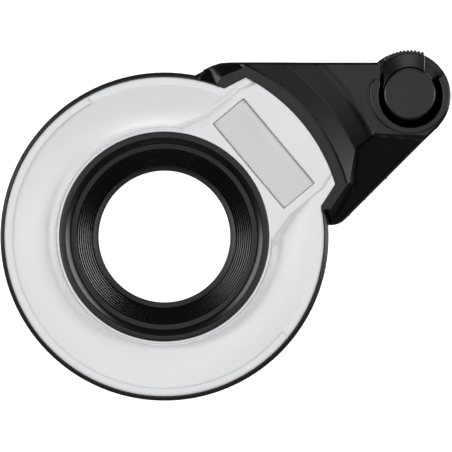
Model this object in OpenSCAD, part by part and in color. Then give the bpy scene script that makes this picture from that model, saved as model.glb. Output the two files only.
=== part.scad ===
// Clip-on ring light for a compact camera.
// The camera's own flash enters the arm from behind, a mirror and a light guide carry it
// round the lens, and a white dished diffuser spreads it. A lever swings a shutter blade
// across the light inlet.
//
// Every sub-part is drawn lying down: X right, Y up, Z forward out of the front face.
// upright() then stands it up, so that up is +Z and the front looks along -Y.
// Z = 0 is the seat where the ring meets the camera's lens mount, on the lens axis.

/* [Ring housing] */
// Outer diameter of the ring
ring_d = 55; // [54.8:0.1:55.6]
// Depth from the camera seat to the front rim
ring_depth = 14; // [13.8:0.1:14.6]
// Wall thickness of the moulded covers
wall = 1.2; // [1.1:0.1:1.3]
// Angle that one finger grip covers
grip_angle = 28; // [20:1:32]
// Number of grooves in one finger grip
grip_grooves = 11; // [6:1:13]

/* [Lens opening] */
// Diameter of the hole that the lens looks through
lens_hole_d = 22; // [20:0.5:22.6]
// Number of anti-glare steps in the cone
glare_steps = 8; // [5:1:9]

/* [Diffuser] */
// Outer diameter of the white diffuser
diffuser_d = 53.2; // [53:0.05:53.3]
// Width of the diffuser's flat rim band
rim_band = 1.3; // [1:0.1:1.5]
// Depth of the dish below the rim, next to the lens
dish_depth = 3.2; // [2.6:0.1:3.3]
// Radius of the ear beside the arm
ear_r = 29.8; // [29.6:0.1:29.9]

/* [Lamp window] */
// Length of the lamp window, round the ring
window_l = 18.5; // [16:0.5:18.5]
// Width of the lamp window, out from the lens
window_w = 6.7; // [6.3:0.1:6.7]
// Distance from the lens axis to the middle of the window
window_r = 21.6; // [21.5:0.05:21.7]
// Direction of the window from the lens axis
window_angle = 39.9; // [39:0.1:41]

/* [Arm] */
// Height of the arm's top edge above the lens axis
arm_top = 29.1; // [28.9:0.05:29.3]
// Radius of the arm's round end
arm_end_r = 7.42; // [7.34:0.04:7.42]
// Depth of the flat deck beside the lever
deck_depth = 8; // [7.8:0.1:8.2]
// Depth of the collar round the ear
collar_depth = 13.2; // [13:0.1:13.4]
// Rise of the lower slope for each millimetre in from its edge
slope_rise = 0.62; // [0.56:0.02:0.66]

/* [Lever] */
// Radius of the lever's round cap
lever_r = 4.43; // [4.2:0.01:4.45]
// Angle that the lever turns through
lever_travel = 30; // [24:1:30]
// Number of teeth on the lever's finger edge
lever_teeth = 11; // [7:1:13]

/* [Camera mount] */
// Diameter of the bore that locates on the lens barrel
register_d = 34; // [33.8:0.1:34]
// Length of that bore
register_l = 3; // [2.6:0.1:3]
// Height of the bayonet ring behind the seat
bayonet_h = 3.5; // [3.2:0.1:4]
// Width of each of the three bayonet lugs, as an angle
lug_angle = 32; // [20:1:36]

/* [Hidden] */

$fn = 96;
eps = 0.01;
// Slip fit between pieces that only lie against each other
fit = 0.05;

black = [0.08, 0.08, 0.085];
soft_black = [0.12, 0.12, 0.125];
white = [0.94, 0.95, 0.96];
frosted = [0.78, 0.79, 0.80];
clear = [0.80, 0.88, 0.92];
steel = [0.70, 0.71, 0.73];
brass = [0.78, 0.64, 0.36];
foam = [0.18, 0.18, 0.19];

ring_r = ring_d / 2;
diffuser_r = diffuser_d / 2;
front_z = ring_depth;
// Top of the black wall, where the diffuser's rim sits on it
wall_top = front_z - 1.4;
wall_in_r = diffuser_r - 0.95;
floor_z = wall;
// The arm splits into its two covers at this depth
parting_z = 2;

// Tube round the lens baffle, which stands on the rear floor
baffle_r = 17.46;
tube_in_r = baffle_r + 0.1;
tube_out_r = 18.5;
tube_top = 9;
lip_out_r = 18.1;
dish_in_r = 19.3;
dish_out_r = diffuser_r - rim_band;
dish_low_z = front_z - dish_depth;
dish_high_z = front_z - 0.6;

// The ear's two flanks, each from the ring's edge out to its corner
ear_foot_r = diffuser_r - 0.1;
ear_foot_a = [68, 11.5];
ear_tip_a = [62.8, 17];
// Part of the ring that opens into the arm
mouth_a = [8.9, 71];

// Round end of the arm, and the rounded corner at its lower end
arm_end = [40.45, 23.55];
arm_base = 1.9;
corner_r = 3.3;
// The lower edge runs at 45 degrees: x - y keeps this value along it
edge_offset = arm_end.x - arm_end.y + arm_end_r * sqrt(2);
corner = [arm_base + corner_r + edge_offset - corner_r * sqrt(2), arm_base + corner_r];

// Relief of the arm, by distance from the lens axis
collar_r = ear_r + 1.7;
shoulder_r = 35;
valley_r = 38.6;
shoulder_z = collar_depth - 1.6;
edge_z = 2.5;

lever_at = [41, 23.85];
// Floor of the well that the lever turns in
well_z = 5.6;
well_r = 5.55;
rim_out_r = 6.6;
rim_top = 9.3;
tab_x = [-4.4, 2.5];
tab_r = 6.65;
tab_z = [6, 8.4];
finger_r = 7.35;
knob_z = [5.8, 8.6];
cap_z = [8.65, 9.4];
shaft_r = 1.9;
// Running clearance of the shaft in its bush
shaft_gap = 0.05;
bush_r = 2.6;
detent_r = 3.5;
detent_a = 290;
ball_r = 0.55;

// Light inlet, seen from the lever's axis, and the blade that covers it
inlet_a = 196;
inlet_dist = 11.8;
inlet_size = [6, 4.4];
inlet_at = lever_at + inlet_dist * [cos(inlet_a), sin(inlet_a)];
inlet_dir = atan2(inlet_at.y, inlet_at.x);
blade_z = [1.9, 2.5];
blade_half_a = 15.5;
blade_r = [8.2, 15.4];

// Duct between the mirror and the light guide, by distance from the lens axis
duct_x = [28.5, 33.2];
duct_w = 8.6;
duct_z = [2.9, 10.2];
guide_z = [6, 8.4];
screw_r = 0.8;
head_r = 1.35;
cover_screw_at = [[33.5, 26.2], [44.3, 19.6], [30.2, 9.6], [22.5, 25.6]];
bayonet_screw_r = 22.4;
bayonet_screw_a = [100, 220, 340];
bayonet_r = 18.6;

function polar(r, a) = r * [cos(a), sin(a)];

module upright() rotate([90, 0, 0]) children();

module slab(z) translate([0, 0, z[0]]) linear_extrude(z[1] - z[0]) children();

module tube(r_in, r_out, z) slab(z) difference() {
    circle(r_out);
    circle(r_in);
}

// Plane sector between two angles
module sector(a, r = 60) {
    steps = 8;
    polygon(concat([[0, 0]], [for (i = [0:steps]) polar(r, a[0] + (a[1] - a[0]) * i / steps)]));
}

// Outline of the arm, drawn smaller by inset
module arm_outline(inset = 0) {
    diagonal = [1, -1] / sqrt(2);
    polygon([[5, 20], [5.1, 27], [8.1, 28.6 - inset], [10.9, arm_top - inset],
        [arm_end.x, arm_top - inset],
        arm_end + (arm_end_r - inset) * diagonal,
        corner + (corner_r - inset) * diagonal,
        [corner.x, arm_base + inset], [18, arm_base + inset]]);
    translate(arm_end) circle(arm_end_r - inset);
    translate(corner) circle(corner_r - inset);
}

// The ear: an outer arc between two straight flanks
module ear_outline(gap = 0) {
    foot = [for (a = ear_foot_a) polar(ear_foot_r, a)];
    tip = [for (a = ear_tip_a) polar(ear_r, a)];
    reach = 0.7;
    intersection() {
        circle(ear_r + gap);
        offset(delta = gap) polygon([[0, 0], foot[1], tip[1] + reach * (tip[1] - foot[1]),
            [33, 30], tip[0] + reach * (tip[0] - foot[0]), foot[0]]);
    }
}

// High part of the arm's front: the collar's flanks, the top edge and the lower crease
module deck_outline() polygon([[0, 0], [8.72, 25.35], [9.57, 26.63], [13.2, 28.15],
    [14.2, 32], [55, 32], [55, 16.93], [43.5, 16.93], [35.13, 17.27], [31.9, 14.85],
    [30.8, 8.93], [30.2, 8.27], [27.73, 4.6], [26.7, 4.18]]);

// Solid below the arm's stepped relief, which turns about the lens axis
module deck_relief(drop = 0) rotate_extrude() polygon([[20, 0], [20, collar_depth - drop],
    [collar_r, collar_depth - drop], [collar_r + 0.4, collar_depth - 0.4 - drop],
    [collar_r + 0.4, collar_depth - 0.8 - drop], [shoulder_r, shoulder_z - drop],
    [valley_r, deck_depth + 0.3 - drop], [valley_r + 0.6, deck_depth - drop],
    [60, deck_depth - drop], [60, 0]]);

// Solid below a plane that rises from the line through foot, in direction a
module ramp(foot, a, z, rise, drop = 0) translate(foot) rotate(a) rotate([90, 0, 0])
    linear_extrude(200, center = true)
        polygon([[-40, -1], [-40, z - 40 * rise - drop], [60, z + 60 * rise - drop], [60, -1]]);

// Low parts of the front: the long lower slope, and the short one left of the collar
module slopes(drop = 0) intersection() {
    slab([0, collar_depth - drop]) square(200, center = true);
    ramp([edge_offset, 0], 135, edge_z, slope_rise, drop);
    ramp([9.57, 26.63], -67, collar_depth - 0.6, 1.6, drop);
}

module arm_solid() intersection() {
    slab([parting_z, 20]) arm_outline();
    union() {
        difference() {
            slopes();
            slab([-1, 40]) deck_outline();
        }
        intersection() {
            slab([0, 20]) deck_outline();
            deck_relief();
        }
    }
}

module arm_hollow() intersection() {
    slab([parting_z - 1, 20]) arm_outline(wall);
    deck_relief(wall);
    union() {
        slopes(wall);
        slab([0, 20]) offset(delta = -wall) deck_outline();
    }
}

// Plan of the well round the lever: its moat, and the gap that the finger tab sweeps
module well_outline() translate(lever_at) {
    circle(well_r);
    polygon([[-5.03, 2.45], [-5.03, 12], [9.78, 11.26], [4.78, 2.6], [0, 0]]);
}

module window_outline(gap = 0)
    rotate(window_angle) translate([window_r, 0])
        square([window_w + 2 * gap, window_l + 2 * gap], center = true);

// The part of the lamp window's outline that the bayonet's flange leaves free
module lamp_port(gap = 0) difference() {
    window_outline(gap);
    circle(21.8 - gap);
}

module inlet_outline(gap = 0)
    translate(inlet_at) rotate(inlet_a) square(inlet_size + [2, 2] * gap, center = true);

// Pan-head screw with its head's underside at z = 0 and its shank going up
module screw(length, head_h = 0.8) {
    cylinder(r = screw_r, h = length, $fn = 24);
    difference() {
        translate([0, 0, -head_h]) cylinder(r = head_r, h = head_h, $fn = 32);
        for (a = [0, 90]) rotate(a) translate([-0.75, -0.18, -head_h - eps]) cube([1.5, 0.36, 0.4]);
    }
}

// ---- Covers ----

module ring_shell() rotate_extrude() polygon([[register_d / 2, 0], [ring_r - 0.5, 0], [ring_r, 0.6],
    [ring_r, 1.6], [ring_r - 0.65, wall_top], [wall_in_r, wall_top], [wall_in_r, floor_z],
    [tube_out_r, floor_z], [tube_out_r, tube_top], [tube_in_r, tube_top], [tube_in_r, register_l],
    [register_d / 2, register_l]]);

module grip_cuts() for (zone = [135, 225, 315]) {
    for (i = [0:grip_grooves - 1])
        rotate(zone - grip_angle / 2 + grip_angle * (i + 0.5) / grip_grooves)
            translate([ring_r + 0.1, 0, 1.4]) cylinder(r = 0.45, h = 20, $fn = 4);
    for (side = [-1, 1])
        rotate(zone + side * (grip_angle / 2 + 1.4)) translate([ring_r - 0.45, -0.4, 1.4])
            cube([2, 0.8, 20]);
}

module rear_cover() color(black) upright() difference() {
    union() {
        difference() {
            union() {
                ring_shell();
                slab([0, parting_z]) difference() {
                    arm_outline();
                    circle(tube_out_r);
                }
            }
            slab([floor_z, 20]) difference() {
                arm_outline(wall);
                circle(ring_r - eps);
            }
            slab([floor_z, 20]) difference() {
                intersection() {
                    sector(mouth_a);
                    union() {
                        arm_outline(wall);
                        circle(wall_in_r);
                    }
                }
                circle(tube_out_r);
            }
            slab([parting_z, 20]) difference() {
                sector(mouth_a);
                circle(tube_out_r);
            }
            grip_cuts();
        }
        for (p = cover_screw_at) translate(p) cylinder(r = 2, h = parting_z);
        for (a = bayonet_screw_a) translate(polar(bayonet_screw_r, a)) cylinder(r = 1.6, h = 4.6);
    }
    for (p = cover_screw_at) translate(p) {
        translate([0, 0, -eps]) cylinder(r = screw_r + 0.15, h = 5, $fn = 32);
        translate([0, 0, -eps]) cylinder(r = head_r + 0.15, h = 1 + eps, $fn = 32);
    }
    for (a = bayonet_screw_a) translate(polar(bayonet_screw_r, a)) translate([0, 0, -eps])
        cylinder(r = screw_r + 0.02, h = 4.3, $fn = 32);
    slab([floor_z, 20]) window_outline(fit);
    slab([-1, floor_z + eps]) lamp_port(-0.6);
    slab([-1, 3]) inlet_outline(fit);
}

module front_cover() color(black) upright() difference() {
    union() {
        difference() {
            arm_solid();
            difference() {
                arm_hollow();
                slab([well_z - wall, 20]) offset(delta = wall) well_outline();
            }
            slab([0, 20]) difference() {
                circle(ring_r + fit);
                sector(mouth_a);
            }
            slab([0, 20]) circle(diffuser_r + fit);
            slab([0, 20]) ear_outline(fit);
        }
        for (p = cover_screw_at) intersection() {
            translate([p.x, p.y, parting_z]) cylinder(r = 1.6, h = 20);
            arm_solid();
        }
        // Boss for the bush, and the detent's pocket beside it
        translate(lever_at) translate([0, 0, 3.2]) cylinder(r = bush_r + 0.9, h = well_z - 3.2);
        translate(lever_at + polar(detent_r, detent_a)) translate([0, 0, 3.2])
            cylinder(r = 1.3, h = well_z - 3.2);
        // Raised rim round the lever's moat
        slab([deck_depth - 1, rim_top]) translate(lever_at) circle(rim_out_r);
    }
    slab([well_z, 20]) well_outline();
    translate(lever_at) translate([0, 0, 3]) cylinder(r = bush_r, h = 5);
    translate(lever_at + polar(detent_r, detent_a)) translate([0, 0, 3.6])
        cylinder(r = ball_r + fit, h = 5, $fn = 32);
    for (p = cover_screw_at) translate([p.x, p.y, parting_z - eps])
        cylinder(r = screw_r + 0.02, h = 2.2, $fn = 32);
}

// ---- Lens opening ----

module lens_baffle() color(soft_black) upright() {
    hole_r = lens_hole_d / 2;
    steps_in = [hole_r + 0.9, 4.2];
    steps_out = [14.6, 10.6];
    cone_wall = 0.8;
    step = (steps_out - steps_in) / glare_steps;
    stairs = [for (i = [0:glare_steps - 1], corner = [0, 1])
        steps_in + step * i + (corner == 0 ? [0, 0] : [0.06, step.y])];
    rotate_extrude() polygon(concat(
        [[hole_r, 3.6], [hole_r, 4], [hole_r + 0.6, 4.2]], stairs,
        [steps_out, [15.6, 10.8], [16.4, front_z - 0.4], [16.5, front_z],
        [baffle_r - 0.16, front_z], [baffle_r, front_z - 0.16], [baffle_r, register_l],
        [baffle_r - 0.8, register_l], [baffle_r - 0.8, front_z - 2.4], [16, 10],
        steps_out + [cone_wall, -0.8], steps_in + [cone_wall, -0.6], [hole_r + 0.6, 3.6]]));
}

module lens_seal() color(foam) upright()
    tube(lens_hole_d / 2 + 0.1, lens_hole_d / 2 + 1.5, [register_l, 3.6]);

// ---- White diffuser ----

module block_outline() difference() {
    union() {
        ear_outline();
        polygon([[12.53, 24.63], [7.2, 19.3], [5.3, 15], [17, 0.5], [19.6, 2.8], [26.6, 8.38]]);
    }
    circle(baffle_r + fit);
}

module diffuser_ring() color(white) upright() difference() {
    union() {
        rotate_extrude() polygon([[baffle_r + fit, tube_top + 0.1], [baffle_r + fit, front_z - 0.2],
            [baffle_r + 0.2, front_z], [lip_out_r - 0.1, front_z], [lip_out_r + 0.1, front_z - 0.2],
            [lip_out_r + 0.4, dish_low_z + 0.6], [dish_in_r, dish_low_z],
            [22.3, dish_low_z + 1], [dish_out_r, dish_high_z], [dish_out_r + 0.15, front_z],
            [diffuser_r - 0.4, front_z], [diffuser_r - 0.1, front_z - 0.25], [diffuser_r, front_z - 0.8],
            [diffuser_r, wall_top + fit], [wall_in_r - fit, wall_top + fit],
            [wall_in_r - fit, wall_top - 1], [wall_in_r - 0.9, wall_top - 1],
            [22.3, dish_low_z - 0.1], [dish_in_r, tube_top + 0.7], [tube_out_r, tube_top + 0.1]]);
        slab([front_z - 2.8, front_z]) block_outline();
    }
    slab([5, 20]) window_outline();
}

module window_diffuser() color(frosted) upright() slab([12.35, 13.2]) window_outline(-fit);

module lamp_tunnel() color(white) upright() slab([floor_z, 12.3]) difference() {
    window_outline(-fit);
    window_outline(-0.6);
}

module lamp_guide() color(clear) upright() {
    slab([floor_z + fit, 12.2]) window_outline(-0.65);
    slab([0.1, floor_z + fit]) lamp_port(-0.65);
}

// ---- Light path round the ring ----

module guide_outline(in_r, out_r) difference() {
    union() {
        circle(out_r);
        intersection() {
            circle(28.3);
            sector([18, 62]);
        }
        rotate(inlet_dir) translate([25, -duct_w / 2 + 0.6]) square([6.5, duct_w - 1.2]);
    }
    circle(in_r);
    window_outline(0.15);
}

module light_guide() color(clear) upright() slab(guide_z) guide_outline(19.2, 25);

module reflector_ring() color(white) upright() difference() {
    rotate_extrude() polygon([[18.6, 5.2], [25.5, 5.2], [25.5, 10.4], [25.1, 10.4], [25.1, 5.8],
        [19.1, 5.8], [19.1, 8.6], [18.6, 8.6]]);
    slab([5, 20]) window_outline(0.15);
    slab([5.8, 20]) difference() {
        sector(mouth_a);
        circle(22);
    }
    slab([5, 20]) difference() {
        sector([20, 60]);
        circle(22);
    }
}

module diffusion_film() color(frosted) upright() slab([8.5, 8.7]) difference() {
    circle(24.9);
    circle(19.3);
    window_outline(0.15);
}

module duct_reflector() color(white) upright() rotate(inlet_dir) {
    duct_wall = 0.5;
    duct_h = duct_z[1] - duct_z[0];
    difference() {
        translate([duct_x[0], -duct_w / 2, duct_z[0]]) cube([duct_x[1] - duct_x[0], duct_w, duct_h]);
        translate([duct_x[0] - 1, -duct_w / 2 + duct_wall, duct_z[0] + duct_wall])
            cube([10, duct_w - 2 * duct_wall, duct_h - 2 * duct_wall]);
    }
}

module turning_mirror() color(steel) upright() rotate(inlet_dir) translate([39.2, 0, 3.4])
    rotate([0, -135, 0]) translate([0, -3.4, -0.5]) cube([7.4, 6.8, 0.5]);

module inlet_lens() color(clear) upright() {
    slab([0.1, floor_z]) inlet_outline();
    slab([floor_z, floor_z + 0.45]) inlet_outline(0.6);
}

module inlet_seal() color(foam) upright() slab([-1.2, 0]) difference() {
    inlet_outline(1.8);
    inlet_outline(0.2);
}

// ---- Camera mount ----

module bayonet_ring() color(steel) upright() difference() {
    union() {
        tube(bayonet_r, 21, [-bayonet_h, 0]);
        tube(bayonet_r, 21.6, [-1.2, 0]);
        for (a = bayonet_screw_a) slab([-1.2, 0]) difference() {
            translate(polar(bayonet_screw_r, a)) circle(2);
            circle(bayonet_r);
        }
        for (a = [40, 160, 280]) slab([-bayonet_h, -bayonet_h + 1.2]) intersection() {
            difference() {
                circle(bayonet_r + 1);
                circle(17.4);
            }
            sector([a - lug_angle / 2, a + lug_angle / 2]);
        }
    }
    for (a = bayonet_screw_a) translate(polar(bayonet_screw_r, a)) {
        translate([0, 0, -3]) cylinder(r = screw_r + 0.1, h = 4, $fn = 32);
        translate([0, 0, -1.2 - 4]) cylinder(r = head_r + 0.1, h = 4, $fn = 32);
    }
    rotate(90) translate([20, 0, -bayonet_h - eps]) cylinder(r = 0.6, h = 0.3, $fn = 32);
}

module bayonet_screws() color(steel) upright() for (a = bayonet_screw_a)
    translate(concat(polar(bayonet_screw_r, a), -1.2)) screw(5.2);

// Leaf between two lugs, with a bump that clicks into the camera's mount
module lock_spring() color(steel) upright() difference() {
    union() {
        slab([-2.1, -0.4]) intersection() {
            difference() {
                circle(bayonet_r - fit);
                circle(bayonet_r - 0.3);
            }
            sector([78, 122]);
        }
        rotate(100) translate([bayonet_r - 0.3, 0, -2.1]) cylinder(r = 0.6, h = 1.7, $fn = 32);
    }
    slab([-3, 0]) difference() {
        circle(30);
        circle(bayonet_r - fit);
    }
}

module alignment_dot() color(white) upright() rotate(90) translate([20, 0, -bayonet_h])
    cylinder(r = 0.58, h = 0.29, $fn = 32);

module cover_screws() color(steel) upright() for (p = cover_screw_at)
    translate([p.x, p.y, 1]) screw(2.9, 0.75);

// ---- Lever ----

module lever_bush() color(brass) upright() translate(lever_at)
    tube(shaft_r + shaft_gap, bush_r - 0.01, [3.2, well_z]);

module lever_washer() color(white) upright() translate(lever_at)
    tube(shaft_r + 0.1, bush_r, [well_z, knob_z[0] - 0.06]);

module detent_ball() color(steel) upright() translate(lever_at + polar(detent_r, detent_a))
    translate([0, 0, knob_z[0] - 0.08 - ball_r]) sphere(ball_r, $fn = 32);

// Compression spring under the ball, swept round its helix
module detent_spring() color(steel) upright() {
    wire = 0.1;
    coil_r = 0.36;
    turns = 4;
    sides = 6;
    rings = 48;
    z0 = 3.72;
    rise = 0.85;
    points = [for (i = [0:rings], k = [0:sides - 1])
        let (a = 360 * turns * i / rings, b = 360 * k / sides, r = coil_r + wire * cos(b))
        [r * cos(a), r * sin(a), z0 + rise * i / rings + wire * sin(b)]];
    skin = [for (i = [0:rings - 1], k = [0:sides - 1])
        let (n = (k + 1) % sides)
        [i * sides + k, i * sides + n, (i + 1) * sides + n, (i + 1) * sides + k]];
    caps = [[for (k = [sides - 1:-1:0]) k], [for (k = [0:sides - 1]) rings * sides + k]];
    translate(lever_at + polar(detent_r, detent_a)) polyhedron(points, concat(skin, caps));
}

module tab_outline(r) intersection() {
    circle(r);
    translate([tab_x[0], 2.4]) square([tab_x[1] - tab_x[0], 10]);
}

// Finger tab with a toothed outer edge; its front face falls away from the cap
module lever_tab() {
    tooth = (tab_x[1] - tab_x[0]) / lever_teeth;
    intersection() {
        slab([tab_z[0], 9]) tab_outline(tab_r);
        rotate_extrude() polygon([[0, 0], [0, 9], [lever_r, 9],
            [tab_r, tab_z[1]], [tab_r + 1, tab_z[1]], [tab_r + 1, 0]]);
    }
    slab([tab_z[0], tab_z[1] - 0.3]) difference() {
        tab_outline(finger_r);
        for (i = [0:lever_teeth]) let (x = tab_x[0] + tooth * i)
            translate([x, sqrt(finger_r * finger_r - x * x) + 0.12]) rotate(45) square(0.42, center = true);
    }
}

module lever_knob() color(black) upright() translate(lever_at) difference() {
    union() {
        translate([0, 0, knob_z[0]]) cylinder(r = lever_r, h = knob_z[1] - knob_z[0]);
        difference() {
            lever_tab();
            translate([0, 0, knob_z[1]]) cylinder(r = lever_r + fit, h = 5);
        }
    }
    translate([0, 0, knob_z[0] - 1]) cylinder(r = shaft_r + 0.02, h = 2);
    translate([0, 0, 6]) cylinder(r = screw_r + 0.05, h = 5, $fn = 32);
    translate([0, 0, 7.6]) cylinder(r = head_r + 0.15, h = 5, $fn = 32);
    // Dimples for the detent at both ends of the travel
    for (turn = [0, lever_travel]) translate(polar(detent_r, detent_a + turn))
        translate([0, 0, knob_z[0] - 0.3]) sphere(ball_r + 0.1, $fn = 32);
}

module lever_cap() color(black) upright() translate(lever_at) translate([0, 0, cap_z[0]])
    rotate_extrude() polygon([[0, 0], [lever_r - 0.1, 0], [lever_r, 0.1], [lever_r, 0.4],
        [lever_r - 0.35, cap_z[1] - cap_z[0]], [0, cap_z[1] - cap_z[0]]]);

module lever_screw() color(steel) upright() translate(concat(lever_at, 7.6))
    rotate([180, 0, 0]) screw(3.4, 0.8);

module lever_shaft() color(brass) upright() translate(lever_at) difference() {
    union() {
        slab([blade_z[1], knob_z[0] + 1]) circle(shaft_r);
        slab([1.4, blade_z[1]]) circle(1.2);
    }
    tube(0.9, 2, [1.5, 1.8]);
    slab([4, 8]) circle(screw_r + 0.01, $fn = 32);
}

module shutter_blade() color(soft_black) upright() translate(lever_at) slab(blade_z) difference() {
    union() {
        circle(2.8);
        rotate(inlet_a + lever_travel) {
            translate([0, -1.4]) square([blade_r[0] + 1, 2.8]);
            intersection() {
                difference() {
                    circle(blade_r[1]);
                    circle(blade_r[0]);
                }
                sector([-blade_half_a, blade_half_a], 20);
            }
        }
    }
    circle(1.22);
}

module blade_clip() color(steel) upright() translate(lever_at) slab([1.52, 1.78]) difference() {
    circle(2.1);
    circle(0.92);
    translate([0, -0.7]) square([3, 1.4]);
}

rear_cover();
front_cover();
lens_baffle();
diffuser_ring();
window_diffuser();
lamp_tunnel();
lamp_guide();
light_guide();
reflector_ring();
diffusion_film();
duct_reflector();
turning_mirror();
inlet_lens();
inlet_seal();
lens_seal();
bayonet_ring();
bayonet_screws();
lock_spring();
alignment_dot();
cover_screws();
lever_bush();
lever_washer();
detent_ball();
detent_spring();
lever_knob();
lever_cap();
lever_screw();
lever_shaft();
shutter_blade();
blade_clip();
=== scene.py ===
import math

import bmesh
import bpy
import numpy as np
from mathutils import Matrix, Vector
from mathutils.geometry import delaunay_2d_cdt


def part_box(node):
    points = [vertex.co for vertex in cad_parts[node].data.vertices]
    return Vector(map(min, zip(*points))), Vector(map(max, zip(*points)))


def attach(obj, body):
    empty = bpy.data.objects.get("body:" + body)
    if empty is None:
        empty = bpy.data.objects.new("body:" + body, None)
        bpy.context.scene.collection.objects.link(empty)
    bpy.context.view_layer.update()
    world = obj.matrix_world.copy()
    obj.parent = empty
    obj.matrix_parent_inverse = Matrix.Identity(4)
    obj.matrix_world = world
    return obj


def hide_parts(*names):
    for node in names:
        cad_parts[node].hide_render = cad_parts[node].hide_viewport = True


# Ring light for a compact camera. Shapes are drawn as a front view: u to the right, v up and
# d forward of the camera seat, in millimetres from the lens axis. In the frame that is
# x = u, z = v and y = -d, in metres.

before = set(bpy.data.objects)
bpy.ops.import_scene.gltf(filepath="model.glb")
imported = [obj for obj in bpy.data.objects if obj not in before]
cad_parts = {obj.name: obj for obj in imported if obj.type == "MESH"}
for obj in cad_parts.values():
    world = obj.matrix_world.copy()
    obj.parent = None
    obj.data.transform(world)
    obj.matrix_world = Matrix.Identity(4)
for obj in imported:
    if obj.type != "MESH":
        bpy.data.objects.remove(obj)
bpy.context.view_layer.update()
MM = 0.001

# ---- Driving dimensions, in millimetres ----

def box_mm(node):
    """Box of a CAD node as (u low, u high, v low, v high, d low, d high)."""
    low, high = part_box(node)
    return [k / MM for k in (low.x, high.x, low.z, high.z, -high.y, -low.y)]


DIFFUSER = box_mm("diffuser_ring")
CAP = box_mm("lever_cap")
WINDOW = box_mm("window_diffuser")

FRONT_D = DIFFUSER[5]
DIFFUSER_R = -DIFFUSER[0]
RING_R = -box_mm("rear_cover")[0]
BAFFLE_R = box_mm("lens_baffle")[1]
LEVER = np.array([(CAP[0] + CAP[1]) / 2, (CAP[2] + CAP[3]) / 2])
CAP_R = (CAP[1] - CAP[0]) / 2

# White diffuser: the ear beside the window, the dish, and the window itself
EAR_R = 29.8
DISH_IN_R = 19.35
DISH_OUT_R = DIFFUSER_R - 1.3
DISH_LOW_D = FRONT_D - 3.2
DISH_HIGH_D = FRONT_D - 0.6
WINDOW_SIZE = (6.7, 18.5)
WINDOW_R = 21.6
WINDOW_ANGLE = 39.9

# Arm: MOUTH holds the two angles where its cover leaves the ring
MOUTH = (8.9, 71)
ARM_TOP = 29.1
ARM_BASE = 1.9
ARM_END = np.array([40.45, 23.55])
ARM_END_R = 7.42
CORNER_R = 3.3
EDGE_OFFSET = ARM_END[0] - ARM_END[1] + ARM_END_R * math.sqrt(2)
CORNER = np.array([ARM_BASE + CORNER_R + EDGE_OFFSET - CORNER_R * math.sqrt(2), ARM_BASE + CORNER_R])

# Heights of the arm's front, and the radii where its steps meet
PARTING_D = 2.0
COLLAR_D = 13.2
COLLAR_R = EAR_R + 1.7
SHOULDER_R = 35.0
VALLEY_R = 38.6
DECK_D = 8.0
WELL_D = 5.6
WELL_AT = LEVER + np.array([0.13, -0.31])
WELL_R = 5.33
RIM_R = 6.72
RIM_D = 9.3

# Outline of the raised part of the arm's front. Past it the facet by the ring and the lower slope fall away.
DECK = [(0, 0), (8.72, 25.35), (9.57, 26.63), (13.2, 28.15), (14.2, 32), (55, 32), (55, 16.93),
    (43.5, 16.93), (35.13, 17.27), (31.9, 14.85), (30.8, 8.93), (30.2, 8.27), (27.73, 4.6),
    (26.7, 4.18)]


# ---- Plane geometry ----

def polar(r, a, centre=(0, 0)):
    return np.array([centre[0] + r * math.cos(math.radians(a)), centre[1] + r * math.sin(math.radians(a))])


def arc(r, a0, a1, centre=(0, 0), step=0.25):
    """Points along an arc, both ends included."""
    count = max(2, int(abs(math.radians(a1 - a0)) * r / step) + 1)
    return [polar(r, a0 + (a1 - a0) * i / count, centre) for i in range(count + 1)]


def resample(points, step=0.25, closed=True):
    """The same corners, with points added along the straight stretches."""
    points = [np.asarray(p, float) for p in points]
    ends = points[1:] + (points[:1] if closed else [])
    out = []
    for p, q in zip(points, ends):
        count = max(1, int(np.linalg.norm(q - p) / step + 0.5))
        out += [p + (q - p) * i / count for i in range(count)]
    if not closed:
        out.append(points[-1])
    kept = [out[0]]
    for p in out[1:]:
        if np.linalg.norm(p - kept[-1]) > 0.02:
            kept.append(p)
    return np.array(kept)


def edge_distance(P, loop, closed=True):
    """Distance from each point of P to the nearest edge of a polyline."""
    loop = np.asarray(loop, float)
    A = loop if closed else loop[:-1]
    B = np.roll(loop, -1, 0) if closed else loop[1:]
    D = B - A
    L = np.maximum((D ** 2).sum(1), 1e-12)
    out = np.empty(len(P))
    for i in range(0, len(P), 4000):
        V = P[i:i + 4000, None, :] - A[None]
        t = np.clip((V * D[None]).sum(2) / L[None], 0, 1)
        out[i:i + 4000] = np.sqrt(((V - t[..., None] * D[None]) ** 2).sum(2).min(1))
    return out


def inside(P, loop):
    """True for each point of P that a closed loop surrounds."""
    loop = np.asarray(loop, float)
    A, B = loop, np.roll(loop, -1, 0)
    out = np.zeros(len(P), bool)
    for (ax, ay), (bx, by) in zip(A, B):
        if ay == by:
            continue
        cross = (ay > P[:, 1]) != (by > P[:, 1])
        out ^= cross & (P[:, 0] < (bx - ax) * (P[:, 1] - ay) / (by - ay) + ax)
    return out


def signed(P, loop):
    """Distance to a closed loop, negative inside it."""
    return np.where(inside(P, loop), -1, 1) * edge_distance(P, loop)


def half_plane(P, a, b):
    """Distance to the line from a to b, positive on its left."""
    a, b = np.asarray(a, float), np.asarray(b, float)
    t = (b - a) / np.linalg.norm(b - a)
    return (P - a) @ np.array([-t[1], t[0]])


def smooth_max(a, b, k):
    return np.maximum(a, b) + np.maximum(k - np.abs(a - b), 0) ** 2 / (4 * k)


def smooth_min(a, b, k):
    return -smooth_max(-a, -b, k)


def inset(loop, by):
    """A closed loop moved to its left by a small distance."""
    loop = np.asarray(loop, float)
    t0 = loop - np.roll(loop, 1, 0)
    t1 = np.roll(loop, -1, 0) - loop
    t = t0 / np.linalg.norm(t0, axis=1)[:, None] + t1 / np.linalg.norm(t1, axis=1)[:, None]
    t /= np.maximum(np.linalg.norm(t, axis=1), 1e-6)[:, None]
    return loop + by * np.stack([-t[:, 1], t[:, 0]], 1)


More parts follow.
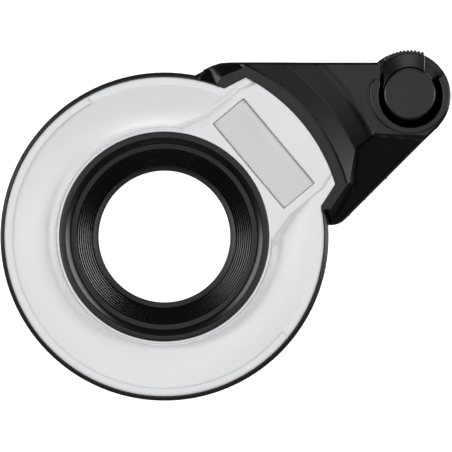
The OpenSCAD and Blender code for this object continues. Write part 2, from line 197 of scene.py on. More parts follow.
# ---- Mesh building ----

def place(u, v, d):
    return (u * MM, -d * MM, v * MM)


def new_object(name, bm, sharp_angle=32):
    for f in bm.faces:
        f.smooth = True
    limit = math.radians(sharp_angle)
    for e in bm.edges:
        e.smooth = len(e.link_faces) == 2 and e.calc_face_angle(0) < limit
    mesh = bpy.data.meshes.new(name)
    bm.to_mesh(mesh)
    bm.free()
    obj = bpy.data.objects.new(name, mesh)
    bpy.context.scene.collection.objects.link(obj)
    return obj


def add_lathe(bm, profile, centre=(0, 0), step=2.0):
    """Closed (r, d) profile turned about a forward axis, step degrees at a time."""
    count = round(360 / step)
    rings = []
    for i in range(count):
        a = math.radians(360 * i / count)
        rings.append([bm.verts.new(place(centre[0] + r * math.cos(a), centre[1] + r * math.sin(a), d))
            for r, d in profile])
    size = len(profile)
    for p, q in zip(rings, rings[1:] + rings[:1]):
        for k in range(size):
            n = (k + 1) % size
            bm.faces.new((p[k], q[k], q[n], p[n]))


def solid_at(P, loops):
    """True for each point inside the outline, the first loop, and outside its holes, the others."""
    ok = inside(P, loops[0])
    for hole in loops[1:]:
        ok &= ~inside(P, hole)
    return ok


def nearest(P, Q, chunk):
    """Distance from each point of P to the nearest point of Q."""
    out = np.empty(len(P))
    for i in range(0, len(P), chunk):
        out[i:i + chunk] = np.sqrt(((P[i:i + chunk, None] - Q[None]) ** 2).sum(2)).min(1)
    return out


# How far inside an outline the rows of points that follow it lie
EDGE_ROWS = (0.07, 0.16, 0.27, 0.4)
# Least distance of a line's points from an outline and from other lines, and a line's longest step
EDGE_CLEAR = 0.05
LINE_CLEAR = 0.04
LONGEST_EDGE = 0.6
# Gap between the rows of a triangular grid whose points are 1 apart
ROW_RISE = 0.866


def relief_lines(loops, features):
    """Points and edges that a relief's mesh keeps: its loops, the rows just inside them, its features."""
    points, edges = [], []
    for loop in loops:
        edges += [(len(points) + i, len(points) + (i + 1) % len(loop)) for i in range(len(loop))]
        points += list(loop)
    lines = [(inset(loop, by), True) for loop in loops for by in EDGE_ROWS]
    lines += [(np.asarray(f, float), False) for f in features]
    kept = []
    for line, closed in lines:
        ok = solid_at(line, loops)
        for loop in loops:
            ok &= edge_distance(line, loop) > EDGE_CLEAR
        if not closed:
            for k in kept:
                ok &= nearest(line, k, 2000) > LINE_CLEAR
        index = np.cumsum(ok) - 1 + len(points)
        points += list(line[ok])
        kept.append(line[ok])
        for i in range(len(line) if closed else len(line) - 1):
            n = (i + 1) % len(line)
            if ok[i] and ok[n] and np.linalg.norm(line[i] - line[n]) < LONGEST_EDGE:
                edges.append((int(index[i]), int(index[n])))
    return np.array(points), edges


def triangular_grid(low, high, spacing):
    rise = spacing * ROW_RISE
    rows = int((high[1] - low[1]) / rise) + 1
    cols = int((high[0] - low[0]) / spacing) + 1
    return np.array([(low[0] + spacing * (i + 0.5 * (j % 2)), low[1] + rise * j)
        for j in range(rows) for i in range(cols)])


def add_relief(bm, loops, height, base, features=(), spacing=0.35):
    """Skin over a plane outline: the top stands at height(P), its edges run back to base, its back is open.

    The first loop is the outline, counter-clockwise, and the others are holes, clockwise.
    Features are polylines that the mesh follows, where the surface has a crease.
    """
    loops = [np.asarray(loop, float) for loop in loops]
    fixed, edges = relief_lines(loops, features)
    grid = triangular_grid(loops[0].min(0), loops[0].max(0), spacing)
    grid = grid[solid_at(grid, loops)]
    grid = grid[nearest(grid, fixed, 500) > spacing * 0.6]
    every = [Vector(p) for p in fixed] + [Vector(p) for p in grid]
    made, _, faces, _, _, _ = delaunay_2d_cdt(every, edges, [], 0, 1e-5)
    P = np.array([(p.x, p.y) for p in made])
    middle = np.array([P[list(f)].mean(0) for f in faces])
    H = height(P)
    verts = {}

    def vert(i):
        if i not in verts:
            verts[i] = bm.verts.new(place(P[i, 0], P[i, 1], H[i]))
        return verts[i]

    top = []
    for f, good in zip(faces, solid_at(middle, loops)):
        if good and len(set(f)) == 3:
            a, b, c = (P[k] for k in f)
            if abs((b[0] - a[0]) * (c[1] - a[1]) - (b[1] - a[1]) * (c[0] - a[0])) > 1e-7:
                top.append(bm.faces.new([vert(k) for k in f]))
    bm.normal_update()
    back = [f for f in top if f.normal.y > 0]
    bmesh.ops.reverse_faces(bm, faces=back)
    rim = [e for f in top for e in f.edges if len(e.link_faces) == 1]
    walls = bmesh.ops.extrude_edge_only(bm, edges=list(set(rim)))
    for v in walls["geom"]:
        if isinstance(v, bmesh.types.BMVert):
            v.co.y = -base(v.co.x / MM, v.co.z / MM) * MM


def thicken(obj, thickness):
    """Gives a skin its wall, on the inner side."""
    mod = obj.modifiers.new("wall", "SOLIDIFY")
    mod.thickness = thickness * MM
    mod.offset = -1
    mod.use_quality_normals = True
    return obj


def round_over(gap, radius):
    """How far a surface drops at gap from its edge, for a quarter-round edge."""
    g = np.clip(gap, 0, radius)
    return radius - np.sqrt(np.maximum(radius ** 2 - (radius - g) ** 2, 0))


# ---- Materials ----

def new_material(name, colour, roughness, vary=0.08, grain=2500, bump=0.04, metallic=0.0, **sockets):
    """Moulded or machined surface: two scales of noise vary its colour, roughness and bump."""
    mat = bpy.data.materials.new(name)
    mat.use_nodes = True
    tree = mat.node_tree
    shader = tree.nodes["Principled BSDF"]
    shader.inputs["Metallic"].default_value = metallic
    for key, value in sockets.items():
        shader.inputs[key.replace("_", " ")].default_value = value
    coords = tree.nodes.new("ShaderNodeTexCoord")
    cloud = tree.nodes.new("ShaderNodeTexNoise")
    cloud.inputs["Scale"].default_value = 90
    cloud.inputs["Detail"].default_value = 3
    fine = tree.nodes.new("ShaderNodeTexNoise")
    fine.inputs["Scale"].default_value = grain
    fine.inputs["Detail"].default_value = 2
    ramp = tree.nodes.new("ShaderNodeValToRGB")
    ramp.color_ramp.elements[0].position = 0.3
    ramp.color_ramp.elements[1].position = 0.7
    ramp.color_ramp.elements[0].color = (*[c * (1 - vary) for c in colour], 1)
    ramp.color_ramp.elements[1].color = (*[min(1, c * (1 + vary)) for c in colour], 1)
    rough = tree.nodes.new("ShaderNodeMapRange")
    rough.inputs["To Min"].default_value = roughness * 0.9
    rough.inputs["To Max"].default_value = roughness * 1.12
    relief = tree.nodes.new("ShaderNodeBump")
    relief.inputs["Strength"].default_value = bump
    relief.inputs["Distance"].default_value = 0.00005
    link = tree.links.new
    link(coords.outputs["Object"], cloud.inputs["Vector"])
    link(coords.outputs["Object"], fine.inputs["Vector"])
    link(cloud.outputs["Fac"], ramp.inputs["Fac"])
    link(ramp.outputs["Color"], shader.inputs["Base Color"])
    link(fine.outputs["Fac"], rough.inputs["Value"])
    link(rough.outputs["Result"], shader.inputs["Roughness"])
    link(fine.outputs["Fac"], relief.inputs["Height"])
    link(relief.outputs["Normal"], shader.inputs["Normal"])
    return mat


SHELL = new_material("shell_black", (0.0012, 0.0012, 0.0013), 0.32, bump=0.06)
BAFFLE = new_material("baffle_black", (0.0015, 0.0015, 0.0016), 0.40, bump=0.08)
LEVER_MAT = new_material("lever_black", (0.0012, 0.0012, 0.0013), 0.30, bump=0.04)
WHITE = new_material("diffuser_white", (0.86, 0.865, 0.88), 0.42, vary=0.01, bump=0.03)
FROST = new_material("window_frost", (0.70, 0.705, 0.705), 0.50, vary=0.02, grain=4000, bump=0.15)
GLOSS_WHITE = new_material("reflector_white", (0.85, 0.85, 0.85), 0.25, vary=0.01)
CLEAR = new_material("clear_acrylic", (0.88, 0.93, 0.95), 0.08, vary=0.01, bump=0.0,
    Transmission_Weight=0.9, IOR=1.49)
MIRROR = new_material("mirror_film", (0.85, 0.86, 0.87), 0.06, vary=0.01, bump=0.0, metallic=1.0)
STEEL = new_material("screw_steel", (0.55, 0.56, 0.57), 0.30, vary=0.05, metallic=1.0)
MOUNT = new_material("mount_steel", (0.50, 0.51, 0.52), 0.28, vary=0.05, grain=6000, metallic=1.0)
BRASS = new_material("brass", (0.72, 0.53, 0.25), 0.30, vary=0.05, metallic=1.0)
FOAM = new_material("foam", (0.02, 0.02, 0.021), 0.95, vary=0.2, grain=3500, bump=0.8)
ACETAL = new_material("acetal", (0.78, 0.78, 0.76), 0.45, vary=0.02)

CAD_MATERIALS = {
    SHELL: ["rear_cover"],
    BAFFLE: ["shutter_blade"],
    GLOSS_WHITE: ["lamp_tunnel", "reflector_ring", "duct_reflector"],
    CLEAR: ["lamp_guide", "light_guide", "inlet_lens"],
    FROST: ["diffusion_film"],
    MIRROR: ["turning_mirror"],
    STEEL: ["bayonet_screws", "cover_screws", "lock_spring", "detent_ball", "detent_spring",
        "lever_screw", "blade_clip"],
    MOUNT: ["bayonet_ring"],
    BRASS: ["lever_bush", "lever_shaft"],
    FOAM: ["inlet_seal", "lens_seal"],
    ACETAL: ["lever_washer", "alignment_dot"],
}


def paint(obj, mat):
    obj.data.materials.clear()
    obj.data.materials.append(mat)


def finish_piece(obj, mat, body, slot, *nodes):
    paint(obj, mat)
    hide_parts(*nodes)
    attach(obj, body)


def make_cad_finishes():
    for mat, nodes in CAD_MATERIALS.items():
        for node in nodes:
            paint(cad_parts[node], mat)


# ---- White diffuser ----

def rectangle(centre_r, angle, size, grow=0.0):
    """Corners of the window's rectangle, counter-clockwise."""
    a = math.radians(angle)
    out, side = np.array([math.cos(a), math.sin(a)]), np.array([-math.sin(a), math.cos(a)])
    w, l = size[0] / 2 + grow, size[1] / 2 + grow
    return [centre_r * out + out * s * w + side * t * l for s, t in ((-1, -1), (1, -1), (1, 1), (-1, 1))]


WINDOW_OUT = polar(1, WINDOW_ANGLE)
WINDOW_SIDE = np.array([-WINDOW_OUT[1], WINDOW_OUT[0]])


def by_window(side, s, q):
    """Point s out from the lens along a short end of the window (+1 left, -1 right), q clear of it."""
    corner = (WINDOW_R - WINDOW_SIZE[0] / 2) * WINDOW_OUT + side * WINDOW_SIZE[1] / 2 * WINDOW_SIDE
    return corner + s * WINDOW_OUT + side * q * WINDOW_SIDE


def around_block(right, left):
    """Outline round the window block. Right and left hold (s, q) points along its two ends."""
    return ([by_window(-1, s, q) for s, q in right] + BLOCK_FAR + [by_window(1, s, q) for s, q in left]
        + [(0, 0)])


# Flat top of the window block, and the crest where its flanks turn steep. Both run on into the lip.
BLOCK_FAR = [(32.8, 18.55), (34, 34), (23.6, 28.8)]
BLOCK_TOP = around_block(((-4.6, 2.5), (-3, 2.0), (0, 1.3), (7.3, 1.3)),
    ((7.2, 1.15), (0.2, 0.6), (-0.6, 0.15), (-1.5, 0.45), (-3, 1.15), (-4.5, 2.1)))
BLOCK_CREST = around_block(((-4.6, 2.6), (-3, 2.1), (0, 1.35), (7.3, 1.35)),
    ((7.3, 1.35), (-0.2, 1.35), (-0.75, 1.5), (-3, 2.1), (-4.5, 2.5)))
CREST_SLOPE = 2.3

# Where the flanks meet the dish, and the two cuts that end the dish's rim beside the block
FOOT_Q = 2.6
NOTCH = ((by_window(1, 7.3, 1.4), by_window(1, 3.9, FOOT_Q)),
    (by_window(-1, 3.9, FOOT_Q), by_window(-1, 7.3, 1.4)))

# Steep wall and fillet between the lip and the dish, as (radius, drop below the front)
LIP_PROFILE = ((17.3, 0), (17.72, 0), (17.82, 0.08), (17.9, 0.35), (18.05, 1.5), (18.2, 2.25), (18.4, 2.75),
    (18.7, 3.03), (19.0, 3.14), (DISH_IN_R, 3.17))
WHITE_ROWS = (17.72, 17.82, 17.9, 17.98, 18.05, 18.12, 18.2, 18.3, 18.4, 18.55, 18.7, 19.0, DISH_IN_R, 20.0,
    24.9, 25.2, DISH_OUT_R, 25.42, 25.55)
FLANK_ROWS = (1.0, 1.6, 1.85, 2.1, 2.35, FOOT_Q, 2.8)

# Angles where the ring's edge and the ear's edge end, right and left
RING_ENDS = (11.5, 68)
EAR_ENDS = (17, 62.8)


def white_outline():
    return arc(DIFFUSER_R, RING_ENDS[1], 360 + RING_ENDS[0])[:-1] + arc(EAR_R, *EAR_ENDS)


def dish_height(P):
    """Cone of the dish, with the lip's wall inside it."""
    r = np.hypot(P[:, 0], P[:, 1])
    t = np.clip((r - DISH_IN_R) / (DISH_OUT_R - DISH_IN_R), 0, 1)
    dish = DISH_LOW_D + (DISH_HIGH_D - DISH_LOW_D) * t
    lip = FRONT_D - np.interp(r, *zip(*LIP_PROFILE))
    return np.where(r < DISH_IN_R, lip, dish)


def white_height(P):
    r = np.hypot(P[:, 0], P[:, 1])
    across = P @ WINDOW_SIDE
    q = np.abs(across) - WINDOW_SIZE[1] / 2
    facing = P @ WINDOW_OUT > 5
    near = facing & (np.abs(across) > 5)

    top = np.maximum(signed(P, BLOCK_TOP), 0)
    crest = np.maximum(signed(P, BLOCK_CREST), 0)
    block = FRONT_D + 0.02 - 0.1 * np.clip(q, 0, 1.35) - 0.4 * np.minimum(top, 1.2) - CREST_SLOPE * crest
    left_foot = near & (r > DISH_IN_R) & (across > 0)
    dish = dish_height(P) - 0.8 * np.clip(FOOT_Q - q, 0, 0.8) * left_foot

    rim = FRONT_D + 0.05 - 3.5 * np.maximum(DISH_OUT_R + 0.12 - r, -1)
    for line in NOTCH:
        rim -= 8 * np.maximum(half_plane(P, *line), 0) * near
    h = smooth_max(np.where(facing, smooth_max(dish, block, 0.25), dish), rim, 0.25)
    h = smooth_min(h, np.full(len(P), FRONT_D), 0.1)

    outer = edge_distance(P, white_outline())
    ear = half_plane(P, polar(DIFFUSER_R, RING_ENDS[0]), polar(DIFFUSER_R, RING_ENDS[1])) < 0.3
    h -= np.where(ear, round_over(outer, 0.14), round_over(outer, 0.5))
    h -= round_over(r - BAFFLE_R - 0.05, 0.12)
    hole = edge_distance(P, rectangle(WINDOW_R, WINDOW_ANGLE, WINDOW_SIZE))
    return h - round_over(hole, np.where(np.abs(q) < 0.3, 0.06, 0.35))


def make_diffuser():
    inner = arc(BAFFLE_R + 0.05, 360, 0)[:-1]
    window = resample(rectangle(WINDOW_R, WINDOW_ANGLE, WINDOW_SIZE)[::-1])
    features = [arc(r, 60, 382) for r in WHITE_ROWS]
    lines = [BLOCK_TOP[:4], BLOCK_TOP[7:13], BLOCK_CREST[:4], BLOCK_CREST[7:12], *NOTCH]
    for side in (1, -1):
        lines += [[by_window(side, -4, q), by_window(side, 6.4, q)] for q in FLANK_ROWS]
    features += [resample(line, closed=False) for line in lines]
    bm = bmesh.new()

    def base(u, v):
        return FRONT_D - 1.35 if math.hypot(u, v) > 25.4 else FRONT_D - 2.0

    add_relief(bm, [resample(white_outline()), inner, window], white_height, base, features, 0.3)
    obj = thicken(new_object("diffuser", bm, 40), 0.7)
    finish_piece(obj, WHITE, "housing", "diffuser_white", "diffuser_ring")


def make_window():
    corners = rectangle(WINDOW_R, WINDOW_ANGLE, WINDOW_SIZE, -0.06)
    loop = resample(corners)

    def height(P):
        inner = half_plane(P, corners[3], corners[0])
        outer = half_plane(P, corners[1], corners[2])
        side = np.minimum(np.abs(inner), np.abs(outer))
        return WINDOW[5] + 0.35 - 0.35 * round_over(side, 1.3) - round_over(edge_distance(P, loop), 0.08)

    bm = bmesh.new()
    add_relief(bm, [loop], height, lambda u, v: WINDOW[4], spacing=0.3)
    obj = thicken(new_object("window_insert", bm), 0.5)
    finish_piece(obj, FROST, "housing", "window_frost", "window_diffuser")


# ---- Lens baffle ----

HOLE_R = -box_mm("lens_seal")[0] - 1.5
RIDGES = 8
RIDGES_FROM = (HOLE_R + 0.85, 4.1)
RIDGES_TO = (14.6, 10.5)


def baffle_profile():
    """(r, d) outline: the hole's lip, the anti-glare ridges, the step, the front edge and the back."""
    profile = [(HOLE_R, 3.2), (HOLE_R, 3.75), (HOLE_R + 0.12, 3.95), (HOLE_R + 0.55, 4.0)]
    dr = (RIDGES_TO[0] - RIDGES_FROM[0]) / RIDGES
    dd = (RIDGES_TO[1] - RIDGES_FROM[1]) / RIDGES
    for i in range(RIDGES):
        r = RIDGES_FROM[0] + dr * i
        d = RIDGES_FROM[1] + dd * i
        profile += [(r, d), (r + 0.05, d + dd * 0.55)]
        profile += [(r + dr * 0.45, d + dd * 0.85), (r + dr * 0.9, d + dd * 0.7)]
    profile += [(14.62, 10.55), (14.72, 10.7), (15.5, 10.78), (15.62, 10.9), (16.32, 13.5), (16.42, 13.85)]
    profile += [(16.55, 13.98), (17.2, FRONT_D), (17.38, FRONT_D - 0.05), (BAFFLE_R, FRONT_D - 0.2)]
    profile += [(BAFFLE_R, 3.0), (BAFFLE_R - 0.8, 3.0), (BAFFLE_R - 0.8, 11.6)]
    return profile + [(15.4, 9.6), (12.6, 3.6), (11.6, 3.2)]


def make_baffle():
    bm = bmesh.new()
    add_lathe(bm, baffle_profile(), step=1.5)
    bmesh.ops.recalc_face_normals(bm, faces=bm.faces)
    finish_piece(new_object("baffle", bm, 30), BAFFLE, "housing", "baffle_black", "lens_baffle")


# ---- Arm ----

# The stop is the end face beside the tab, and the slot the straight side of the well at the tab's left
STOP_FOOT = LEVER + np.array([4.78, 2.6])
STOP_DIR = np.array([0.5, 0.8660254])
SLOT = LEVER + np.array([-4.95, 1.1])
EAR_GAP = 0.05


def on_circle(start, direction, centre, radius):
    """Where a ray from inside a circle leaves it."""
    f = start - centre
    b = f @ direction
    return start + direction * (-b + math.sqrt(b * b - f @ f + radius * radius))


def angle_of(p, centre):
    return math.degrees(math.atan2(p[1] - centre[1], p[0] - centre[0]))


STOP_OUT = on_circle(STOP_FOOT, STOP_DIR, ARM_END, ARM_END_R)
SLOT_OUT = on_circle(SLOT, np.array([0.0, 1.0]), ARM_END, ARM_END_R)
TOP_RISE = ARM_TOP - ARM_END[1]
TOP_MEET = ARM_END + np.array([-math.sqrt(ARM_END_R ** 2 - TOP_RISE ** 2), TOP_RISE])
MOAT_ENDS = (angle_of(STOP_FOOT, WELL_AT) - 2, angle_of(SLOT, WELL_AT) - 360 + 2)


def moat(a0, a1):
    """Part of the round wall of the lever's well."""
    return arc(WELL_R, a0, a1, WELL_AT, 0.2)


def ear_side():
    """The cover's edge along the ear, from the ring's left junction to its right one."""
    r = DIFFUSER_R + EAR_GAP
    left = [polar(r, MOUTH[1])] + arc(r, 69.5, RING_ENDS[1])
    return left + arc(EAR_R + EAR_GAP, *EAR_ENDS[::-1]) + arc(r, RING_ENDS[0], MOUTH[0])


# Where the cover's thin left tip ends on the ring
TIP_ANGLE = 78.5


def cover_outline():
    low_end = math.degrees(math.asin(ARM_BASE / (RING_R + EAR_GAP)))
    points = [(CORNER[0] - 0.3, ARM_BASE)] + arc(CORNER_R, 270, 315, CORNER)
    points += arc(ARM_END_R, -45, angle_of(STOP_OUT, ARM_END), ARM_END)
    points += [STOP_FOOT] + moat(*MOAT_ENDS) + [SLOT]
    points += arc(ARM_END_R, angle_of(SLOT_OUT, ARM_END), angle_of(TOP_MEET, ARM_END), ARM_END)
    points += [(10.9, ARM_TOP), (9.4, ARM_TOP - 0.1), (8.1, 28.6), (6.6, 27.9)]
    points += arc(DIFFUSER_R + EAR_GAP, TIP_ANGLE, MOUTH[1])[:-1] + ear_side()
    points += arc(RING_R + EAR_GAP, MOUTH[0], low_end)
    return resample(points)


# Slope of each face of the arm's front: forward travel lost for each millimetre outward
COLLAR_SLOPE = 0.8
BAND_SLOPE = 0.27
SHOULDER_SLOPE = 0.95
FACET_SLOPE = 1.8
LOWER_SLOPE = 0.62
COLLAR_EDGE = 0.42

# The arm's outer wall leans in by this much below its top edge
EDGE_DRAFT = 0.36


def lower_slope(P):
    """Dark face under the deck, rising from the arm's 45 degree edge."""
    return 2.5 + LOWER_SLOPE * (P[:, 1] - P[:, 0] + EDGE_OFFSET) / math.sqrt(2)


def arm_relief(P):
    """Steps of the arm that run concentric with the ring: collar, band, shoulder, deck."""
    r = np.hypot(P[:, 0], P[:, 1])
    band = COLLAR_D - 0.75 - BAND_SLOPE * (r - COLLAR_R - 0.45)
    shoulder = 11.6 - SHOULDER_SLOPE * (r - SHOULDER_R)
    h = smooth_max(smooth_min(band, shoulder, 0.1), np.full(len(P), DECK_D), 0.5)
    collar = COLLAR_D - COLLAR_SLOPE * np.maximum(r - COLLAR_R, 0)
    return np.where(r < COLLAR_R + COLLAR_EDGE, collar, h)


def well_outline():
    return [SLOT_OUT, SLOT] + moat(*MOAT_ENDS[::-1]) + [STOP_FOOT]


COVER = cover_outline()
EAR_SIDE = np.array(ear_side())
WELL_SIDE = np.array(well_outline() + [STOP_OUT])


def cover_height(P):
    relief = arm_relief(P)
    out = signed(P, DECK)
    left = (P[:, 0] < 16) & (P[:, 1] > 20)
    wall = relief - np.where(left, 1.5, 7.0) * np.maximum(out, 0)
    h = np.where(left, wall, smooth_max(wall, lower_slope(P), 0.5))
    h = np.where(out <= -0.12, relief, np.where(out <= 0, relief - 0.5 * (out + 0.12) ** 2, h))

    by_ring = DIFFUSER_R + EAR_GAP + 0.25
    facet = 12.75 - FACET_SLOPE * np.maximum(np.hypot(P[:, 0], P[:, 1]) - by_ring, 0)
    h = np.where(left & (P[:, 0] < 9), np.maximum(h, facet), h)

    edge = edge_distance(P, COVER)
    by_ear = edge_distance(P, EAR_SIDE, False) < edge + 0.02
    by_well = edge_distance(P, WELL_SIDE, False) < edge + 0.02
    draft = smooth_max(5 * (EDGE_DRAFT - edge), np.zeros(len(P)), 0.25)
    h -= np.where(by_ear, round_over(edge, 0.06), np.where(by_well, round_over(edge, 0.14), draft))
    return np.maximum(h, PARTING_D + 0.4)


def cover_base(u, v):
    """Depth that the cover's walls run back to, less beside the well."""
    p = np.array([[u, v]])
    return WELL_D - 0.3 if edge_distance(p, WELL_SIDE, False)[0] < 0.03 else PARTING_D + 0.05


def cover_features():
    """Where the cover's surface has a crease: arcs at its steps, and rows along the deck's outline."""
    rows = [COLLAR_R + by for by in (-0.06, 0, 0.4, 0.44)]
    rows += [SHOULDER_R + by for by in (-0.15, -0.07, 0, 0.07, 0.15)]
    rows += [VALLEY_R + by for by in (-0.4, -0.1, 0.2, 0.5)]
    features = [arc(r, 3, 85) for r in rows]
    for part in (DECK[1:5], DECK[6:]):
        line = resample(part, closed=False)
        t = np.gradient(line, axis=0)
        t /= np.linalg.norm(t, axis=1)[:, None]
        normal = np.stack([t[:, 1], -t[:, 0]], 1)
        features += [line - normal * by for by in (0, 0.1, -0.1, 0.3, 0.5, 0.7, 0.85, 1.05)]
    return features


def well_floor(P):
    """Floor of the well, which falls away outward from under the cap."""
    ditch = np.clip(np.hypot(*(P - LEVER).T) - 4.0, 0, 1.6)
    return WELL_D - 0.9 * ditch - round_over(ARM_END_R - np.hypot(*(P - ARM_END).T), 0.25)


def make_cover():
    bm = bmesh.new()
    add_relief(bm, [COVER], cover_height, cover_base, cover_features())
    end = arc(ARM_END_R, angle_of(STOP_OUT, ARM_END), angle_of(SLOT_OUT, ARM_END), ARM_END)
    add_relief(bm, [resample(well_outline() + end)], well_floor, lambda u, v: PARTING_D + 0.05)
    obj = thicken(new_object("arm_cover", bm, 38), 0.15)
    finish_piece(obj, SHELL, "housing", "black_shell", "front_cover")


# Height of the rim's left end above the lever's axis, and the round at its corner
RIM_TOP_V = 2.42
RIM_CORNER = 0.6


def make_rim():
    """Raised rim that runs round the lever's well from the slot to the stop."""
    start = 180 - math.degrees(math.asin((RIM_TOP_V - RIM_CORNER) / RIM_R))
    outer = arc(RIM_R, start, 360 + angle_of(STOP_FOOT + 0.75 * STOP_DIR, LEVER), LEVER, 0.2)
    top = LEVER[1] + RIM_TOP_V
    loop = outer + [STOP_FOOT] + moat(*MOAT_ENDS) + [SLOT, (SLOT[0], top), (outer[0][0] + RIM_CORNER, top)]
    loop = resample(loop, 0.2)
    bm = bmesh.new()
    add_relief(bm, [loop], lambda P: RIM_D - round_over(edge_distance(P, loop), 0.2), lambda u, v: WELL_D,
        spacing=0.25)
    obj = new_object("lever_rim", bm, 40)
    finish_piece(obj, SHELL, "housing", "black_shell", "front_cover")


# ---- Lever ----

# The tab's sides from the lever's axis, its outer radius, and the knurl that stands behind it
TAB_LEFT = -4.4
TAB_RIGHT = 2.5
TAB_IN_R = CAP_R + 0.05
TAB_OUT_R = 6.78
KNURL_R = 7.35
KNURL_FOOT_R = TAB_OUT_R - 0.2
TEETH = 11
TOOTH = ((0.0, 0.34), (0.2, 0.08), (0.4, 0), (0.6, 0), (0.8, 0.08))
LEVER_BACK_D = 6.0


def turn_at(x, r):
    """Angle at which a circle about the lever's axis is x to its right."""
    return math.degrees(math.acos(x / r))


def knurl_outline():
    """Teeth from right to left, then back along their foot. TOOTH holds (part of the pitch, depth)."""
    pitch = (TAB_RIGHT - TAB_LEFT) / TEETH
    corners = [(TAB_RIGHT - pitch * (i + part), depth) for i in range(TEETH) for part, depth in TOOTH]
    corners.append((TAB_LEFT, TOOTH[0][1]))
    teeth = [polar(KNURL_R - depth, turn_at(x, KNURL_R), LEVER) for x, depth in corners]
    foot = arc(KNURL_FOOT_R, turn_at(TAB_LEFT, KNURL_FOOT_R), turn_at(TAB_RIGHT, KNURL_FOOT_R), LEVER, 0.2)
    return np.array(teeth + foot)


def tab_outline():
    points = [LEVER + (TAB_RIGHT, math.sqrt(TAB_IN_R ** 2 - TAB_RIGHT ** 2))]
    points += arc(TAB_OUT_R, turn_at(TAB_RIGHT, TAB_OUT_R), turn_at(TAB_LEFT, TAB_OUT_R), LEVER, 0.15)
    points += arc(TAB_IN_R, turn_at(TAB_LEFT, TAB_IN_R), turn_at(TAB_RIGHT, TAB_IN_R) + 2, LEVER, 0.15)
    return resample(points, 0.15)


def make_lever():
    tab, knurl = tab_outline(), knurl_outline()

    def tab_height(P):
        r = np.hypot(*(P - LEVER).T)
        return 9.1 - 0.42 * (r - CAP_R) - round_over(edge_distance(P, tab), 0.14)

    def knurl_height(P):
        return 8.0 - round_over(edge_distance(P, knurl), 0.12)

    bm = bmesh.new()
    hub = [(0.02, 5.8), (CAP_R - 0.1, 5.8), (CAP_R - 0.02, 5.9), (CAP_R - 0.02, 8.5), (CAP_R - 0.12, 8.6)]
    add_lathe(bm, hub + [(0.02, 8.6)], LEVER, 3)
    add_relief(bm, [tab], tab_height, lambda u, v: LEVER_BACK_D, spacing=0.2)
    add_relief(bm, [knurl], knurl_height, lambda u, v: LEVER_BACK_D, spacing=0.2)
    bmesh.ops.recalc_face_normals(bm, faces=bm.faces)
    finish_piece(new_object("lever", bm, 35), LEVER_MAT, "lever", "lever_black", "lever_knob")


def make_cap():
    bm = bmesh.new()
    top = CAP[5]
    profile = [(0.02, 8.66), (CAP_R - 0.05, 8.66), (CAP_R, 8.72), (CAP_R, top - 0.36)]
    profile += [(CAP_R - 0.05, top - 0.22), (CAP_R - 0.16, top - 0.08), (CAP_R - 0.32, top - 0.01)]
    profile += [(CAP_R - 0.5, top), (0.02, top)]
    add_lathe(bm, profile, LEVER)
    bmesh.ops.recalc_face_normals(bm, faces=bm.faces)
    finish_piece(new_object("cap", bm), LEVER_MAT, "lever", "lever_black", "lever_cap")


# ---- Stage, light and camera ----

# Middle and width of the front view in millimetres, and the camera's distance in metres
VIEW_CENTRE = (10.3, 1.77)
VIEW_WIDTH = 75.33
CAMERA_DISTANCE = 2.5
SENSOR_WIDTH = 36

# Floor, in metres: far enough below the object to let light in from its sides
FLOOR_HALF = 0.35
FLOOR_Z = -0.50


def make_stage():
    bm = bmesh.new()
    corners = ((-1, -1), (1, -1), (1, 1), (-1, 1))
    bm.faces.new([bm.verts.new((x * FLOOR_HALF, y * FLOOR_HALF, FLOOR_Z)) for x, y in corners])
    floor = new_object("floor", bm)
    paint(floor, new_material("floor_pale", (0.80, 0.80, 0.80), 0.7, vary=0.01, grain=400))


# Softboxes, all at one distance: name, degrees off the front axis, degrees round it from the right,
# width in metres, radiance
LIGHT_DISTANCE = 1.2
STUDIO = (
    ("front", 0, 0, 0.50, 1.2),
    ("right", 32, 0, 0.40, 6),
    ("left", 32, 180, 0.40, 8),
    ("top", 32, 90, 0.40, 2),
    ("right_wide", 55, 0, 0.45, 3.5),
    ("left_wide", 55, 180, 0.45, 3.5),
    ("top_wide", 55, 90, 0.45, 2),
    ("top_right", 55, 45, 0.45, 1),
    ("right_rim", 78, 0, 0.50, 0.5),
    ("upper_rim", 78, 45, 0.50, 1),
    ("back_left", 125, 160, 0.80, 2.5),
    ("back_right", 135, 20, 0.80, 2.5),
)


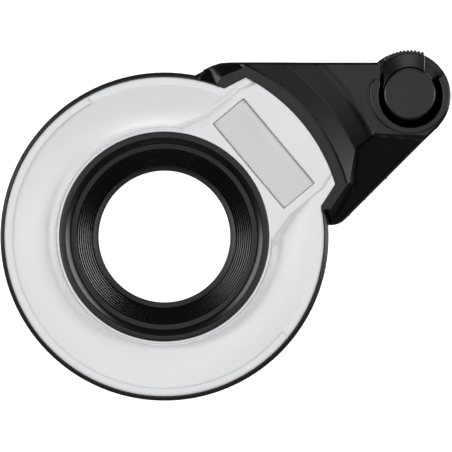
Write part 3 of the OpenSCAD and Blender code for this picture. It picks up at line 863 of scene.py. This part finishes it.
def add_light(name, off_axis, around, width, radiance):
    tilt, turn = math.radians(off_axis), math.radians(around)
    across = math.sin(tilt)
    away = Vector((across * math.cos(turn), -math.cos(tilt), across * math.sin(turn))) * LIGHT_DISTANCE
    data = bpy.data.lights.new(name, "AREA")
    data.shape = "SQUARE"
    data.size = width
    data.energy = math.pi * width ** 2 * radiance
    obj = bpy.data.objects.new(name, data)
    obj.location = Vector((VIEW_CENTRE[0] * MM, 0, VIEW_CENTRE[1] * MM)) + away
    obj.rotation_euler = (-away).to_track_quat("-Z", "Y").to_euler()
    obj.visible_camera = False
    bpy.context.scene.collection.objects.link(obj)


# World strength as the camera sees it, and as it lights the object
BACKDROP = 1.3
FILL = 0.03


def make_light():
    """White backdrop for the camera, a faint even fill for the object, and the softboxes."""
    world = bpy.data.worlds.new("studio")
    world.use_nodes = True
    bpy.context.scene.world = world
    tree = world.node_tree
    tree.nodes.clear()
    seen = tree.nodes.new("ShaderNodeBackground")
    seen.inputs["Color"].default_value = (1, 1, 1, 1)
    seen.inputs["Strength"].default_value = BACKDROP
    fill = tree.nodes.new("ShaderNodeBackground")
    fill.inputs["Color"].default_value = (1, 1, 1, 1)
    fill.inputs["Strength"].default_value = FILL
    path = tree.nodes.new("ShaderNodeLightPath")
    mix = tree.nodes.new("ShaderNodeMixShader")
    out = tree.nodes.new("ShaderNodeOutputWorld")
    tree.links.new(path.outputs["Is Camera Ray"], mix.inputs["Fac"])
    tree.links.new(fill.outputs[0], mix.inputs[1])
    tree.links.new(seen.outputs[0], mix.inputs[2])
    tree.links.new(mix.outputs[0], out.inputs["Surface"])
    for light in STUDIO:
        add_light(*light)


def make_camera():
    data = bpy.data.cameras.new("camera")
    data.sensor_width = SENSOR_WIDTH
    data.lens = SENSOR_WIDTH * CAMERA_DISTANCE / (VIEW_WIDTH * MM)
    data.clip_end = 20
    obj = bpy.data.objects.new("camera", data)
    obj.location = (VIEW_CENTRE[0] * MM, -CAMERA_DISTANCE - FRONT_D * MM, VIEW_CENTRE[1] * MM)
    obj.rotation_euler = (math.pi / 2, 0, 0)
    bpy.context.scene.collection.objects.link(obj)
    bpy.context.scene.camera = obj


bpy.context.scene.view_settings.view_transform = "Standard"
make_camera()
make_light()
make_stage()
make_cad_finishes()
make_diffuser()
make_window()
make_baffle()
make_cover()
make_rim()
make_lever()
make_cap()
